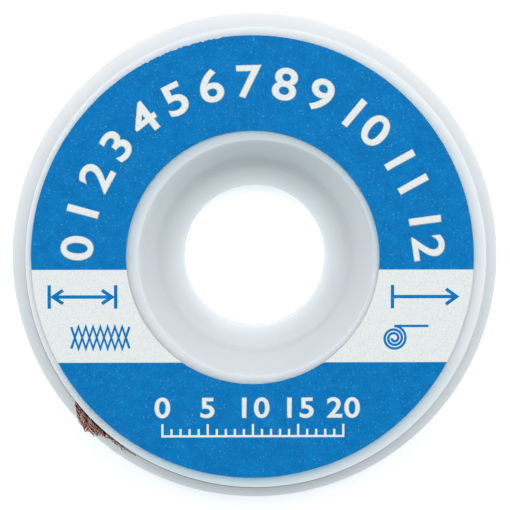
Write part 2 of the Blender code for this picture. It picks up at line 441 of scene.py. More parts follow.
@dataclass(frozen=True)
class MouldedPolypropylene:
    """Natural polypropylene, injection moulded against a satin tool.

    It is milky and a little cool, lets light a short way in, and has a soft broad sheen. Beside the printed
    paper a painted blue glow stands in for the blue light that the print throws into the plastic. Handling
    leaves fine scuffs and a few specks of dust. A fine dark line under the disc's edge, at the mouth of the
    slot, is painted shade for the disc's shadow. The mould's core leaves a witness line, a step of a
    hundredth of a millimetre, at the foot of the recess.
    """

    body: str = "#EAEFF3"
    cloudy: str = "#E1E8ED"
    cloud_size: float = 9.0 * MM
    ior: float = 1.49
    light_depth: float = 2.4 * MM
    scuff_size: float = 0.9 * MM
    scuff_noise: Pair = (0.35, 0.70)
    scuff_roughness: Pair = (0.36, 0.52)
    texture_size: float = 0.10 * MM
    texture_rise: float = 0.01 * MM
    texture_strength: float = 0.10
    witness_radius: float = 10.83 * MM
    witness_width: float = 0.06 * MM
    witness_rise: float = 0.01 * MM
    # Painted light: a blue glow beside the print for light thrown through the paper into the plastic,
    # stronger below the print outside it and higher up within the ring.
    cast: str = "#A9CDE4"
    cast_reach: float = 1.2 * MM
    cast_depth: float = 0.8 * MM
    cast_blur: float = 0.9 * MM
    cast_level: float = 0.3
    cast_outside: Pair = (0.95, 0.30)
    cast_inside: Pair = (0.30, 0.62)
    dust: str = "#8E8E8C"
    speck_spacing: float = 1.9 * MM
    speck_size: float = 0.10 * MM
    speck_core: float = 0.6
    speck_strength: float = 0.45
    speck_share: float = 0.14
    # Painted shade: a thin dark ring for the disc's shadow on the shell at the mouth of the slot, set off
    # centre so that it shows past the disc's edge towards the bottom.
    grime: str = "#4C5A5E"
    grime_x: float = 0.03 * MM
    grime_y: float = -0.23 * MM
    grime_low: float = 25.45 * MM
    grime_high: float = 25.76 * MM
    grime_ramp: float = 0.2 * MM
    grime_soft: float = 0.04 * MM
    grime_strength: float = 0.75
    grime_above: float = 6.9 * MM

    def material(self, name: str, ring: PrintedRing | None = None) -> Material:
        """Build the finish.

        Args:
            name: Name of the material.
            ring: The printed paper that lies on the moulding, if any does.

        Returns:
            The material.
        """
        nodes = Nodes(bpy.data.materials.new(name))
        cloud = nodes.pattern("TexNoise", self.cloud_size, Detail=2.0)
        scuff = nodes.pattern("TexNoise", self.scuff_size, Detail=5.0)
        grain = nodes.pattern("TexNoise", self.texture_size, Detail=2.0)
        # Painted light: a blue glow beside the print on the front moulding, and the disc's shadow on the back
        # shell.
        painted_light_layer = (self.blue_shine(nodes, ring), self.cast) if ring else (self.slot_line(nodes), self.grime)
        colour = self.body
        for amount, tint in ((cloud, self.cloudy), painted_light_layer, (self.specks(nodes), self.dust)):
            colour = nodes.add("Mix", {0: amount, 6: colour, 7: tint}, 2, data_type="RGBA")
        relief = {"Strength": self.texture_strength, "Distance": self.texture_rise, "Height": grain}
        if ring:
            start = self.witness_radius
            step = nodes.add("MapRange", (nodes.distance_from(0.0, 0.0), start, start + self.witness_width))
            line = {"Strength": 1.0, "Distance": self.witness_rise, "Height": step}
            relief["Normal"] = nodes.add("Bump", line)
        rough = nodes.add("MapRange", (scuff, *self.scuff_noise, *self.scuff_roughness))
        nodes.fill(nodes.shader, {"Subsurface Weight": 1.0, "Subsurface Radius": (1.0, 1.0, 1.0)})
        nodes.fill(nodes.shader, {"Subsurface Scale": self.light_depth, "IOR": self.ior})
        return nodes.shaded({"Base Color": colour, "Roughness": rough, "Normal": nodes.add("Bump", relief)})

    def specks(self, nodes: Nodes) -> Socket:
        """Faint round specks of dust, in a small share of the cells of a Voronoi pattern.

        Args:
            nodes: Nodes of the finish.

        Returns:
            How much dust lies at each point.
        """
        distance, kind = nodes.cells(self.speck_spacing)
        size = self.speck_size / self.speck_spacing
        near = nodes.add("MapRange", (distance, size * self.speck_core, size, self.speck_strength, 0.0))
        chosen = nodes.add("Math", (kind, self.speck_share), operation="LESS_THAN")
        return nodes.add("Math", (near, chosen), operation="MULTIPLY")

    def slot_line(self, nodes: Nodes) -> Socket:
        """Painted shade for the disc's shadow: a ring high on the shell, a little off centre, between two
        radii.

        Args:
            nodes: Nodes of the finish.

        Returns:
            How much painted shade lies at each point.
        """
        distance = nodes.distance_from(self.grime_x, self.grime_y)
        height = nodes.add("SeparateXYZ", (nodes.place,), "Z")
        low, high, soft = self.grime_low, self.grime_high, self.grime_soft
        within = nodes.add("MapRange", (distance, high - soft, high + soft, self.grime_strength, 0.0))
        beyond = nodes.add("MapRange", (distance, low, low + self.grime_ramp))
        outside = nodes.add("Math", (height, self.grime_above), operation="GREATER_THAN")
        line = nodes.add("Math", (within, beyond), operation="MULTIPLY")
        return nodes.add("Math", (line, outside), operation="MULTIPLY")

    def blue_shine(self, nodes: Nodes, ring: PrintedRing) -> Socket:
        """Painted blue glow for light shining into the plastic beside the print, falling off away from the
        paper.

        It is painted as light that comes from beyond the top of the case and is thrown on downwards, so of
        the plastic outside the print it reaches the lowest most, and of that within the ring the highest.

        Args:
            nodes: Nodes of the finish.
            ring: The printed paper.

        Returns:
            How much painted blue glow each point takes.
        """
        distance = nodes.distance_from(ring.x, ring.y)
        level, height = (nodes.add("SeparateXYZ", (nodes.place,), axis) for axis in "YZ")
        shines = []
        for terms, radius, strengths in (
            ((distance, ring.outer), ring.outer, self.cast_outside),
            ((ring.inner, distance), ring.inner, self.cast_inside),
        ):
            gap = nodes.add("Math", terms, operation="SUBTRACT")
            strength = nodes.add("MapRange", (level, -radius, -self.cast_level * radius, *strengths))
            fall = nodes.add("MapRange", (gap, 0.0, self.cast_reach, strength, 0.0))
            on_side = nodes.add("Math", (gap, 0.0), operation="GREATER_THAN")
            shines.append(nodes.add("Math", (on_side, fall), operation="MULTIPLY"))
        near = nodes.add("Math", tuple(shines), operation="ADD")
        face = nodes.add("MapRange", (height, DISC_HIGH.z - self.cast_depth, DISC_HIGH.z))
        beside = nodes.add("Math", (near, ring.inked(nodes, self.cast_blur)), operation="MULTIPLY")
        return nodes.add("Math", (beside, face), operation="MULTIPLY")


@dataclass(frozen=True)
class LabelPaper:
    """Matt coated label paper, screen printed in one blue and left bare where it is white.

    The ink lies a little unevenly, so the blue is mottled and shows pinholes. The bare paper has a fine
    grey grain. The cut edge is always bare.
    """

    ink: Ink
    blue: str = "#0572B6"
    light_blue: str = "#1084CB"
    pinhole: str = "#7CC0EA"
    paper: str = "#F3F6F4"
    grain: str = "#D6D9D4"
    roughness: float = 0.60
    specular: float = 0.05
    mottle_size: float = 1.2 * MM
    ink_grain_size: float = 0.24 * MM
    mottle_noise: Pair = (0.74, 1.28)
    grain_size: float = 0.12 * MM
    grain_noise: Pair = (0.50, 0.72)
    grain_strength: float = 0.9
    grain_rise: float = 0.01 * MM
    relief_strength: float = 0.12
    pinhole_spacing: float = 0.27 * MM
    pinhole_rim: Pair = (0.10, 0.30)
    pinhole_from: float = 0.56
    pinhole_strength: float = 0.70
    trim: float = 0.012 * MM
    print_blur: float = 0.02 * MM
    facing_up: float = 0.5

    def material(self, ring: PrintedRing) -> Material:
        """Build the finish.

        Args:
            ring: Where the paper lies, from which the print is placed.

        Returns:
            The material.
        """
        nodes = Nodes(bpy.data.materials.new(f"label_paper_{self.ink.name.lower()}"))
        fine = nodes.pattern("TexNoise", self.grain_size, Detail=3.0)
        grey = nodes.add("MapRange", (fine, *self.grain_noise, 0.0, self.grain_strength))
        colour = nodes.add("Mix", {0: grey, 6: self.paper, 7: self.grain}, 2, data_type="RGBA")
        if self.ink is not Ink.BARE:
            print_over = {0: self.coverage(nodes, ring), 6: colour, 7: self.printed(nodes)}
            colour = nodes.add("Mix", print_over, 2, data_type="RGBA")
        relief = {"Strength": self.relief_strength, "Distance": self.grain_rise, "Height": fine}
        nodes.fill(nodes.shader, {"Roughness": self.roughness, "Specular IOR Level": self.specular})
        return nodes.shaded({"Base Color": colour, "Normal": nodes.add("Bump", relief)})

    def printed(self, nodes: Nodes) -> Socket:
        """Mottled blue with pinholes of several strengths.

        Args:
            nodes: Nodes of the finish.

        Returns:
            The colour of the ink.
        """
        coarse = nodes.pattern("TexNoise", self.mottle_size, Detail=6.0, Roughness=0.6)
        fine = nodes.pattern("TexNoise", self.ink_grain_size, Detail=3.0)
        both = nodes.add("Math", (coarse, fine), operation="ADD")
        mottle = nodes.add("MapRange", (both, *self.mottle_noise))
        colour = nodes.add("Mix", {0: mottle, 6: self.blue, 7: self.light_blue}, 2, data_type="RGBA")
        distance, kind = nodes.cells(self.pinhole_spacing)
        near = nodes.add("MapRange", (distance, *self.pinhole_rim, 1.0, 0.0))
        strength = nodes.add("MapRange", (kind, self.pinhole_from, 1.0, 0.0, self.pinhole_strength))
        hole = nodes.add("Math", (near, strength), operation="MULTIPLY")
        return nodes.add("Mix", {0: hole, 6: colour, 7: self.pinhole}, 2, data_type="RGBA")

    def coverage(self, nodes: Nodes, ring: PrintedRing) -> Socket:
        """1 where ink lies: on faces that look up, inside the trimmed edge and, if banded, outside the band.

        Args:
            nodes: Nodes of the finish.
            ring: Where the paper lies.

        Returns:
            The mask.
        """
        facing = nodes.add("SeparateXYZ", (nodes.add("NewGeometry", out="Normal"),), "Z")
        covered = nodes.add("Math", (facing, self.facing_up), operation="GREATER_THAN")
        if self.ink is Ink.BLUE:
            return covered
        distance = nodes.distance_from(ring.x, ring.y)
        inside = nodes.add("Math", (distance, ring.outer - self.trim), operation="LESS_THAN")
        for mask in (inside, ring.inked(nodes, self.print_blur)):
            covered = nodes.add("Math", (covered, mask), operation="MULTIPLY")
        return covered


@dataclass(frozen=True)
class DrawnCopper:
    """Fine copper wire, drawn bright and coated with a thin rosin flux.

    It is salmon pink where it was cut and handled, and brown where the flux lies thick.
    """

    bright: str = "#F6C3B3"
    fluxed: str = "#AE6650"
    tarnished: str = "#4C2016"
    roughness: float = 0.28
    stain_size: float = 0.45 * MM
    bright_range: Pair = (0.85, 1.15)
    tarnish_range: Pair = (0.62, 0.85)
    roll_freshness: float = 0.35
    roll_roughness: float = 0.34
    weave_rise: float = 0.05 * MM
    weave_strength: float = 0.8
    crease_range: Pair = (0.1, 0.7)
    crease_strength: float = 0.85

    def coloured(self, nodes: Nodes, freshness: Socket | float) -> Socket:
        """Bright copper, browned in patches and where the value passed in is low.

        Args:
            nodes: Nodes of the finish.
            freshness: 0 for old and fluxed copper, 1 for bright. For the wires it also carries painted shade.

        Returns:
            The colour.
        """
        noise = nodes.pattern("TexNoise", self.stain_size, Detail=4.0)
        amount = nodes.add("Math", (noise, freshness), operation="ADD")
        bright = nodes.add("MapRange", (amount, *self.bright_range))
        tarnish = nodes.add("MapRange", (amount, *self.tarnish_range, 1.0, 0.0))
        colour = nodes.add("Mix", {0: bright, 6: self.fluxed, 7: self.bright}, 2, data_type="RGBA")
        return nodes.add("Mix", {0: tarnish, 6: colour, 7: self.tarnished}, 2, data_type="RGBA")

    def wire_material(self) -> Material:
        """Build the finish of separate wires, which carry their freshness and painted shade in the attribute
        strand.

        Returns:
            The material.
        """
        nodes = Nodes(bpy.data.materials.new("drawn_copper_wire"))
        colour = self.coloured(nodes, nodes.add("Attribute", out="Fac", attribute_name="strand"))
        return nodes.shaded({"Base Color": colour, "Metallic": 1.0, "Roughness": self.roughness})

    def woven_material(self, carriers: int, wires_each: int) -> Material:
        """Build the finish of the wound roll, whose wires are too many to be separate.

        The UV map counts lay lengths along the braid and turns round it. The wires of right-hand carriers
        follow v - u and those of left-hand carriers v + u, and the two take turns on top round the braid.

        Args:
            carriers: Carriers that wind each way.
            wires_each: Wires side by side in each carrier.

        Returns:
            The material, with its wires as bump and shade.
        """
        nodes = Nodes(bpy.data.materials.new("woven_copper"))
        pattern = nodes.add("UVMap", uv_map="weave")
        along, around = (nodes.add("SeparateXYZ", (pattern,), axis) for axis in "XY")
        stripes = []
        for operation in ("SUBTRACT", "ADD"):
            lane = nodes.add("Math", (around, along), operation=operation)
            phase = nodes.add("Math", (lane, math.pi * carriers * wires_each), operation="MULTIPLY")
            wave = nodes.add("Math", (phase,), operation="SINE")
            stripes.append(nodes.add("Math", (wave,), operation="ABSOLUTE"))
        swap = nodes.add("Math", (around, math.pi * carriers), operation="MULTIPLY")
        column = nodes.add("Math", (swap,), operation="SINE")
        on_top = nodes.add("Math", (column, 0.0), operation="GREATER_THAN")
        height = nodes.add("Mix", {0: on_top, 2: stripes[1], 3: stripes[0]}, data_type="FLOAT")
        shade = nodes.add("MapRange", (height, *self.crease_range, self.crease_strength, 0.0))
        dark = {0: shade, 6: self.coloured(nodes, self.roll_freshness), 7: self.tarnished}
        relief = {"Strength": self.weave_strength, "Distance": self.weave_rise, "Height": height}
        colour = nodes.add("Mix", dark, 2, data_type="RGBA")
        nodes.fill(nodes.shader, {"Metallic": 1.0, "Roughness": self.roll_roughness})
        return nodes.shaded({"Base Color": colour, "Normal": nodes.add("Bump", relief)})


@dataclass(frozen=True)
class OpalAcrylic:
    """Opal acrylic sheet, cast matt and lit from below.

    It looks evenly pale. A thing on it throws a soft shadow close to where it rests.
    """

    sheet: str = "#E4E5E6"
    uneven: str = "#EAEBEC"
    patch_size: float = 110 * MM
    roughness: float = 0.9
    specular: float = 0.1
    light: str = "#FFFFFF"
    glow: float = 0.42

    def material(self) -> Material:
        """Build the finish.

        Returns:
            The material.
        """
        nodes = Nodes(bpy.data.materials.new("opal_acrylic"))
        noise = nodes.pattern("TexNoise", self.patch_size, Detail=2.0)
        colour = nodes.add("Mix", {0: noise, 6: self.sheet, 7: self.uneven}, 2, data_type="RGBA")
        nodes.fill(nodes.shader, {"Roughness": self.roughness, "Specular IOR Level": self.specular})
        nodes.fill(nodes.shader, {"Emission Color": self.light, "Emission Strength": self.glow})
        return nodes.shaded({"Base Color": colour})


@dataclass
class SpoolCase:
    """The two mouldings: a front disc with its cup, and a rounded back shell."""

    radius: float = CASE_HIGH.x
    lip_height: float = CASE_HIGH.z
    disc_radius: float = DISC_HIGH.x
    disc_top: float = DISC_HIGH.z
    cup_underside: float = DISC_LOW.z
    hole_radius: float = 8.05 * MM
    ledge: float = 2.85 * MM
    flare: float = 2.10 * MM
    wall: float = 1.10 * MM
    disc_thickness: float = 1.0 * MM
    cup_floor_thickness: float = 1.0 * MM
    lip_under_disc: float = 1.2 * MM
    widest_height: float = 3.5 * MM
    shoulder_width: float = 3.5 * MM
    heel_width: float = 2.5 * MM
    collar_wall: float = 0.9 * MM
    collar_height: float = 2.3 * MM
    fit_gap: float = 0.3 * MM
    lip_round: float = 0.14 * MM
    columns: int = 360

    @property
    def cup_floor(self) -> float:
        """Height of the recess floor."""
        return self.cup_underside + self.cup_floor_thickness

    @property
    def disc_underside(self) -> float:
        """Height of the disc's lower face."""
        return self.disc_top - self.disc_thickness

    @property
    def foot_radius(self) -> float:
        """Radius of the cup where its wall meets its floor."""
        return self.hole_radius + self.ledge

    @property
    def mouth_radius(self) -> float:
        """Radius of the cup at the disc's face."""
        return self.foot_radius + self.flare

    @property
    def taper(self) -> float:
        """How much the cup widens for each unit of height."""
        return self.flare / (self.disc_top - self.cup_floor)

    @property
    def lip_radius(self) -> float:
        """Radius of the shell's lip, some way in under the disc's edge."""
        return self.disc_radius - self.lip_under_disc

    @property
    def collar_top(self) -> float:
        """Height of the collar round the cup's foot."""
        return self.wall + self.collar_height

    @property
    def collar_inner_radius(self) -> float:
        """Inner radius of the collar, one fit gap outside the cup at the collar's top."""
        return self.foot_radius + self.wall + self.taper * (self.collar_top - self.cup_floor) + self.fit_gap

    def shoulder_height(self, radius: Array) -> Array:
        """Height of the shell's outer face: the quarter ellipse of its shoulder.

        Args:
            radius: Distance from the spindle's axis.

        Returns:
            Height above the floor.
        """
        centre = self.radius - self.shoulder_width
        across = np.clip((radius - centre) / self.shoulder_width, 0.0, 1.0)
        return self.widest_height + (self.lip_height - self.widest_height) * np.sqrt(1 - across**2)

    def front_profile(self) -> Array:
        """Outline of the disc and cup, from the disc's upper edge down its outer side and up the recess.

        Returns:
            Closed outline as (n, 2).
        """
        outer_top = self.mouth_radius + self.wall - self.taper * self.disc_thickness
        outer_foot = self.foot_radius + self.wall - self.taper * self.cup_floor_thickness
        edge, inner, hole, fillet, mouth = 0.07 * MM, 0.30 * MM, 0.10 * MM, 1.25 * MM, 0.05 * MM
        top, under = self.disc_top, self.disc_underside
        start = ((self.mouth_radius + self.disc_radius) / 2, top, 0.0)
        corners = [start, (self.disc_radius, top, edge), (self.disc_radius, under, edge)]
        corners += [(outer_top, under, inner), (outer_foot, self.cup_underside, inner)]
        corners += [(self.hole_radius, self.cup_underside, hole), (self.hole_radius, self.cup_floor, hole)]
        corners += [(self.foot_radius, self.cup_floor, fillet), (self.mouth_radius, top, mouth), start]
        return rounded_path(corners)

    def back_profile(self) -> Array:
        """Outline of the rounded wall from its lip, the flat back, the hole, the collar and the inside.

        Returns:
            Closed outline as (n, 2).
        """
        middle, wall = self.widest_height, self.wall
        centre = (self.radius - self.shoulder_width, middle)
        heel = (self.radius - self.heel_width, middle)
        rise = self.lip_height - middle
        over = self.lip_radius - centre[0]
        inner_width, inner_rise = self.shoulder_width - wall, rise - wall
        outer_deg = math.degrees(math.acos(over / self.shoulder_width))
        inner_deg = math.degrees(math.acos(over / inner_width))
        short_of_lip, inner_short_of_lip = 2.0, 4.0
        shoulder = arc(centre, (self.shoulder_width, rise), outer_deg - short_of_lip, 0, steps=26)
        below = arc(heel, (self.heel_width, middle), 0, -90, steps=18)[1:]
        hole, foot, collar = 0.20 * MM, 0.20 * MM, 0.15 * MM
        inner, outer = self.collar_inner_radius, self.collar_inner_radius + self.collar_wall
        corners = [(heel[0], 0.0, 0.0), (self.hole_radius, 0.0, hole), (self.hole_radius, wall, hole)]
        corners += [(inner, wall, foot), (inner, self.collar_top, collar), (outer, self.collar_top, collar)]
        corners += [(outer, wall, foot), (heel[0], wall, 0.0)]
        inside_heel = arc(heel, (self.heel_width - wall, middle - wall), -90, 0, steps=10)
        inside = arc(centre, (inner_width, inner_rise), 0, inner_deg - inner_short_of_lip, steps=14)[1:]
        lip_low = middle + inner_rise * math.sin(math.radians(inner_deg))
        lip_high = middle + rise * math.sin(math.radians(outer_deg))
        edges = [(self.lip_radius, height, self.lip_round) for height in (lip_low, lip_high)]
        lip = rounded_path([(*inside[-1], 0.0), *edges, (*shoulder[0], 0.0)])
        return np.vstack([shoulder, below, rounded_path(corners), inside_heel, inside, lip])

    def build(self, finish: MouldedPolypropylene, ring: PrintedRing) -> list[Object]:
        """Make both mouldings.

        Args:
            finish: Their plastic.
            ring: The printed paper on the front one.

        Returns:
            The front and the back moulding.
        """
        front = turned(*self.front_profile().T, self.columns)
        back = turned(*self.back_profile().T, self.columns)
        made = [
            front.piece("front_flange_moulding", finish.material("moulded_polypropylene_front", ring)),
            back.piece("back_shell_moulding", finish.material("moulded_polypropylene_back")),
        ]
        for piece, node in zip(made, ("front_flange", "back_shell")):
            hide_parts(node)
        return made


@dataclass
class BraidStock:
    """One length of flat copper braid: a tube of interlaced carriers, pressed flat, wound and led out.

    A real braid of this width has five or six wires in a carrier. They are drawn a little thicker and
    fewer, so that each still shows. The values for freshness and painted shade say how much each thing
    brightens or darkens the copper: being handled, lying outermost, the way of winding, and chance; and,
    as painted shade for the shadows that fall there, lying under the disc's edge and lying on the inner
    layer, which faces the plastic. The lengths in loosens_over and handled_over are measured back from
    the cut end.
    """

    case: SpoolCase
    width: float = 3.5 * MM
    thickness: float = 0.5 * MM
    length: float = 1500 * MM
    wire: float = 0.11 * MM
    carriers: int = 8
    wires_each: int = 3
    lay: float = 13.0 * MM
    slack: float = 0.05 * MM
    bottom: float = ROLL_LOW.z
    clear_of_lip: float = 0.5 * MM
    leaves_roll_deg: float = 128.0
    turns_out_deg: float = 209.3
    straight_from_deg: float = 219.3
    tip_deg: float = 227.8
    tip_beyond_disc: float = 1.8 * MM
    bend_beyond_lip: float = 0.35 * MM
    bend_radius: float = 2.67 * MM
    steepest_deg: float = 76.0
    moves_out: Pair = (0.05, 0.60)
    rises: Pair = (0.06, 0.66)
    lies_over: Pair = (0.10, 0.64)
    edge_inset: float = 1.10
    face_inset: float = 1.05
    wire_spacing: float = 2.2
    ragged_end: Pair = (-0.28 * MM, 0.14 * MM)
    loosens_over: Pair = (5.5 * MM, 0.5 * MM)
    weave_height: Pair = (0.52, 0.35)
    wavers: tuple[Pair, ...] = ((0.015 * MM, 0.09 * MM), (0.010 * MM, 0.05 * MM))
    waver_length: Pair = (0.13 * MM, 0.24 * MM)
    splay_length: float = 1.3 * MM
    splay: tuple[float, float, float] = (0.10 * MM, 0.10 * MM, 0.06 * MM)
    handled_over: Pair = (6.0 * MM, 2.0 * MM)
    # Radii over which the painted shadow of the disc's edge on the wires fades out.
    disc_shade: Pair = (25.6 * MM, 25.95 * MM)
    clearance: float = 0.6
    fresh_base: float = 0.20
    fresh_handled: float = 0.38
    # Painted shade: darkens the wires under the disc's edge, where its shadow falls.
    fresh_under_disc: float = -0.60
    fresh_height: float = 0.24
    fresh_way: float = 0.22
    # Painted shade: darkens the inner layer of wires, which faces the plastic, for the shadow it lies in.
    fresh_underside: float = -0.80
    fresh_spread: float = 0.24
    seed: int = 7

    @property
    def bore_radius(self) -> float:
        """Radius of the roll's bore, one fit gap outside the collar."""
        return self.case.collar_inner_radius + self.case.collar_wall + self.case.fit_gap

    @property
    def pitch(self) -> float:
        """Radial distance from turn to turn."""
        return self.thickness + self.slack

    @property
    def roll_radius(self) -> float:
        """Outer radius of the roll, from the braid's length: pi (R^2 - r^2) = length * pitch."""
        return math.sqrt(self.bore_radius**2 + self.length * self.pitch / math.pi)

    @property
    def roll_middle(self) -> float:
        """Height of the roll's middle."""
        return self.bottom + self.width / 2

    @property
    def slot_middle(self) -> float:
        """Height of the middle of the slot between the shell's lip and the disc."""
        return (self.case.lip_height + self.case.disc_underside) / 2

    def line(self, share: Array) -> tuple[Array, Array]:
        """The free end's centreline and the way its width points, before it bends over the shoulder.

        In the roll it stands on edge. It rises and lies over until it is flat in the slot, each by a smooth
        step of the share. Then it turns outwards with the square of the angle, and runs straight on.

        Args:
            share: 0 at the roll and 1 at the tip.

        Returns:
            Points and unit width vectors, both (n, 3).
        """
        start_r = self.roll_radius - self.thickness / 2
        under_lip = self.case.lip_radius - self.clear_of_lip - self.width / 2
        tip_r = self.case.disc_radius + self.tip_beyond_disc
        angle_deg = self.leaves_roll_deg + (self.tip_deg - self.leaves_roll_deg) * share
        turning = self.straight_from_deg - self.turns_out_deg
        past = np.maximum(angle_deg - self.turns_out_deg, 0.0)
        curve = np.minimum(past, turning) ** 2 / (2 * turning) + np.maximum(past - turning, 0.0)
        outwards = curve / (self.tip_deg - self.turns_out_deg - turning / 2)
        radius = start_r + (under_lip - start_r) * ease(share, *self.moves_out)
        radius = radius + (tip_r - under_lip) * outwards
        height = self.roll_middle + (self.slot_middle - self.roll_middle) * ease(share, *self.rises)
        twist = math.pi / 2 * ease(share, *self.lies_over)
        angle = np.radians(angle_deg)
        radial = np.stack([np.cos(angle), np.sin(angle), 0 * angle], axis=1)
        level = np.stack([0 * height, 0 * height, height], axis=1)
        across = radial * np.sin(twist)[:, None] + np.array([0.0, 0.0, 1.0]) * np.cos(twist)[:, None]
        return radial * radius[:, None] + level, across

    def section(self, turns: Array) -> tuple[Array, Array, Array, Array]:
        """The flattened tube that the wires lie on.

        Across the braid a wire's place is a rounded triangle wave of the turns round it, and through its
        thickness a steep square wave.

        Args:
            turns: Place round the braid, in turns.

        Returns:
            x and y of the wire's centre, and the x and y of the way outwards there.
        """
        half_x = self.width / 2 - self.edge_inset * self.wire
        half_y = self.thickness / 2 - self.face_inset * self.wire
        t = 2 * math.pi * turns
        sharp, square = 0.975, 0.22
        scale = math.asin(sharp)
        x = half_x * np.arcsin(sharp * np.sin(t)) / scale
        root = np.sqrt(np.cos(t) ** 2 + square**2)
        y = half_y * np.cos(t) / root * math.sqrt(1 + square**2)
        dx = half_x * sharp * np.cos(t) / np.sqrt(1 - (sharp * np.sin(t)) ** 2) / scale
        dy = -half_y * np.sin(t) * square**2 / root**3 * math.sqrt(1 + square**2)
        size = np.hypot(dx, dy)
        return x, y, -dy / size, dx / size

    def over_under(self, turns: Array) -> Array:
        """How far a right-hand wire lies outside (+1) or inside (-1) of those it crosses, two by two."""
        wave = np.sin(math.pi * self.carriers * turns + math.pi / 4)
        return wave * (1.5 - 0.5 * wave**2)

    def free_end_paths(self) -> tuple[Array, Array]:
        """Centrelines of all wires in the free end.

        A wire winds evenly round the flattened tube while it runs along it, so its place round the tube is
        its own start plus or minus length / lay, and it weaves in and out by half its thickness. Towards
        the cut end the weave loosens: each wire wavers on two sines of its own, and its last stretch
        bends away with the square of the distance. Stations crowd towards the cut end, which shows.

        Returns:
            Points as (wires, stations, 3), and the copper's tone, with painted shade, as (wires, stations).
        """
        rng = np.random.default_rng(self.seed)
        stations, crowding, samples, past_tip = 240, 1.8, 560, 1.05
        share = np.linspace(0.0, past_tip, samples)
        line, across = self.line(share)
        run = np.concatenate([[0.0], np.cumsum(np.linalg.norm(np.diff(line, axis=0), axis=1))])
        along = unit(np.gradient(line, axis=0))
        across = unit(across - along * np.sum(across * along, axis=1, keepdims=True))
        up = np.cross(along, across)
        nominal = float(np.interp(1.0, share, run))
        girth = 2 * self.width + 2 * self.thickness
        beside = self.wire * self.wire_spacing / (math.cos(math.atan2(girth, self.lay)) * girth)
        place = (np.arange(self.wires_each) - (self.wires_each - 1) / 2) * beside
        right = (np.arange(self.carriers)[:, None] / self.carriers + place[None, :]).ravel()
        start = np.concatenate([right, right + 0.5 / self.carriers])[:, None]
        way = np.repeat([Winding.RIGHT.value, Winding.LEFT.value], len(right))[:, None]
        each = (len(start), 1)
        end = nominal + rng.uniform(*self.ragged_end, each)
        s = end * (1 - (1 - np.linspace(0.0, 1.0, stations)[None, :]) ** crowding)
        turns = start + way * s / self.lay
        x, y, out_x, out_y = self.section(turns)
        loose = ease(s, *(nominal - before for before in self.loosens_over))
        tight_height, loose_height = self.weave_height
        lift = way * self.over_under(turns) * self.wire * (tight_height + loose_height * loose)
        waver, swing_size, slow_size, slow_length = [], 0.6, 0.8, 3.1
        for tight_size, loose_size in self.wavers:
            length = rng.uniform(*self.waver_length, each)
            phase, slow = rng.uniform(0, 2 * math.pi, each), rng.uniform(0, 2 * math.pi, each)
            swing = np.sin(s / length + phase) + slow_size * np.sin(s / (slow_length * length) + slow)
            waver.append((tight_size + loose_size * loose) * swing * swing_size)
        x, y = x + lift * out_x + waver[0], y + lift * out_y + waver[1]
        axes = ([np.interp(s, run, part[:, k]) for k in range(3)] for part in (line, across, up))
        middle, wide, thick = (np.stack(axis, axis=-1) for axis in axes)
        paths = middle + x[..., None] * wide + y[..., None] * thick
        ramp = np.clip(1 - (end - s) / self.splay_length, 0.0, 1.0) ** 2
        paths = self.draped(paths + ramp[..., None] * rng.normal(0.0, 1.0, (*each, 3)) * np.array(self.splay))
        handled = ease(s, *(nominal - before for before in self.handled_over))
        # Painted shade under the disc's edge, for the disc's shadow on the wires.
        painted_disc_shadow_share = 1 - ease(np.hypot(paths[..., 0], paths[..., 1]), *self.disc_shade)
        copper_tone = self.fresh_base + self.fresh_handled * handled + self.fresh_under_disc * painted_disc_shadow_share
        copper_tone = copper_tone + self.fresh_height * way * self.over_under(turns) + self.fresh_way * way
        # Painted shade on the inner layer of wires, seen in the gaps of the outer one.
        copper_tone = copper_tone + self.fresh_underside * (out_y > 0)
        copper_tone = copper_tone + rng.uniform(-self.fresh_spread, self.fresh_spread, each)
        return paths, copper_tone

    def draped(self, paths: Array) -> Array:
        """Bend what is outside the slot down over the shoulder, and keep it off the plastic.

        Up to a line just outside the lip a point keeps its place. Its distance s past the line turns into
        an arc of bend_radius: with a = s / bend_radius and h its height over the slot's middle, it goes to
        radius line + (bend_radius + h) sin a and height middle - bend_radius + (bend_radius + h) cos a.
        Past the steepest a it runs on straight.

        Args:
            paths: Points as (..., 3).

        Returns:
            The bent points.
        """
        case = self.case
        flat = np.hypot(paths[..., 0], paths[..., 1])
        line = case.lip_radius + self.bend_beyond_lip
        past = np.maximum(flat - line, 0.0)
        a = np.minimum(past / self.bend_radius, math.radians(self.steepest_deg))
        rest = past - a * self.bend_radius
        high = paths[..., 2] - self.slot_middle
        reach = self.bend_radius + high
        bent_r = line + reach * np.sin(a) + rest * np.cos(a)
        bent_z = self.slot_middle - self.bend_radius + reach * np.cos(a) - rest * np.sin(a)
        radius = np.where(past > 0, bent_r, flat)
        height = np.where(past > 0, bent_z, paths[..., 2])
        near, gap = 0.1 * MM, self.wire * self.clearance
        floor = case.shoulder_height(radius) + gap
        height = np.where(radius > case.lip_radius - near, np.maximum(height, floor), height)
        ceiling = case.disc_underside - gap
        height = np.where(radius < case.disc_radius + near, np.minimum(height, ceiling), height)
        scale = radius / flat
        return np.stack([paths[..., 0] * scale, paths[..., 1] * scale, height], axis=-1)

    def stray_paths(self) -> tuple[Array, Array]:
        """Loose wires past the cut end, along the disc's edge.

        Each runs from one angle to another and from one radius to another, and curls about its own line:
        it adds swell cos(turn) outwards and swell sin(turn) upwards, with the turn growing by its length over
        its curl's pitch.

        Returns:
            Points as (wires, stations, 3), and the copper's freshness, as (wires, stations).
        """
        case, over_shoulder, first_swell, stations = self.case, 0.30 * MM, 0.35, 70
        share = np.linspace(0.0, 1.0, stations)[None, :]
